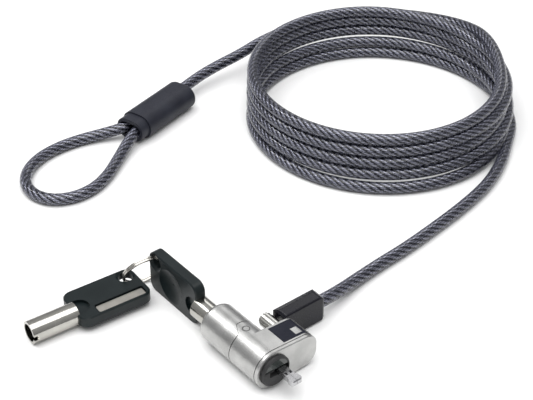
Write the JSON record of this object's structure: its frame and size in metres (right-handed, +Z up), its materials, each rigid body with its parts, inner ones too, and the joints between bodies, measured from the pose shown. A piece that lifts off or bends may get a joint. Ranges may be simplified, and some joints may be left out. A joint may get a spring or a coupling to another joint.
{
  "type": "laptop cable lock",
  "caption": "Keyed laptop lock: hooked-jaw head on a swivel, coiled coated steel cable with an eye loop crimped in a ferrule, and tubular keys on a split ring.",
  "frame": {"origin": "on the barrel's axis in the outer face of the front plate, where the jaws leave the head", "axes": "+X towards the wing and the cable, +Y towards the key end, +Z up; the lock lies on a surface at z = -7 mm"},
  "size_m": [0.2434, 0.173, 0.0239],
  "materials": {
    "satin_shell": "satin nickel-zinc plating",
    "plated_metal": "bright nickel plating",
    "jaw_chrome": "polished chrome plating",
    "key_chrome": "polished nickel plating",
    "ring_metal": "bright spring steel",
    "core_metal": "machined steel",
    "pin_brass": "machined brass",
    "coated_cable": "steel strands seen through a smoky glossy sheath",
    "boot_plastic": "glossy black-navy moulding",
    "ferrule_plastic": "matte slate moulding",
    "inlay": "glossy navy inlay",
    "pad_rubber": "matte charcoal",
    "guide_plastic": "glossy dark green-grey",
    "key_plastic": "semi-matte green-black"
  },
  "bodies": {
    "cable": {"swivel_eye": "plated_metal", "swivel_washer": "plated_metal", "crimp_sleeve": "plated_metal", "cable_end": "coated_cable", "cable_boot": "boot_plastic", "cable_tail": "coated_cable", "cable_coil": "coated_cable", "cable_arm": "coated_cable", "loop_ferrule": "ferrule_plastic", "ferrule_crimp": "plated_metal", "ferrule_strands": "coated_cable", "cable_loop": "coated_cable"},
    "head": {"front_plate": "satin_shell", "plate_pins": "plated_metal", "head_body": "satin_shell", "wing_panel": "inlay", "panel_stud": "satin_shell", "emblem_disc": "satin_shell", "rear_sleeve": "satin_shell", "grub_screw": "plated_metal", "face_pad": "pad_rubber", "jaw_guide": "guide_plastic", "lock_housing": "core_metal", "pin_block": "pin_brass", "driver_pins": "pin_brass", "driver_springs": "core_metal", "swivel_pin": "plated_metal"},
    "rotor": {"rotor": "core_metal", "key_pins": "pin_brass", "cam": "core_metal", "cam_pin": "core_metal"},
    "jaw_left": {"jaw_left": "jaw_chrome"},
    "jaw_right": {"jaw_right": "jaw_chrome"},
    "key_1": {"key_1_tube": "key_chrome", "key_1_bow": "key_plastic", "key_1_strip": "key_chrome"},
    "ring": {"split_ring": "ring_metal"},
    "key_2": {"key_2_tube": "key_chrome", "key_2_bow": "key_plastic", "key_2_strip": "key_chrome"}
  },
  "joints": [
    {"name": "head_swivel", "type": "hinge", "parent": "cable", "child": "head", "pos_m": [0.0129, 0.015, 0], "axis": [0, 1, 0], "range_deg": [-60, 75]},
    {"name": "key_turn", "type": "hinge", "parent": "head", "child": "rotor", "pos_m": [0, 0.015, 0], "axis": [0, 1, 0], "range_deg": [0, 90]},
    {"name": "jaw_left_slide", "type": "slide", "parent": "head", "child": "jaw_left", "axis": [-1, 0, 0], "range_m": [0, 0.0006]},
    {"name": "jaw_right_slide", "type": "slide", "parent": "head", "child": "jaw_right", "axis": [1, 0, 0], "range_m": [0, 0.0006]},
    {"name": "key_1_slide", "type": "slide", "parent": "rotor", "child": "key_1", "axis": [0, 1, 0], "range_m": [0, 0.03]},
    {"name": "ring_turn", "type": "hinge", "parent": "key_1", "child": "ring", "pos_m": [-0.00405, 0.06578, 0.00066], "axis": [0.1725, 0.9002, 0.4], "range_deg": [-8, 15]},
    {"name": "key_2_swing", "type": "hinge", "parent": "ring", "child": "key_2", "pos_m": [-0.00957, 0.06919, -0.00294], "axis": [0, 0, 1], "range_deg": [-20, 25]}
  ],
  "couplings": [
    {"joint": "jaw_left_slide", "follows": "key_turn", "m_per_rad": 0.000381},
    {"joint": "jaw_right_slide", "follows": "key_turn", "m_per_rad": 0.000381}
  ]
}
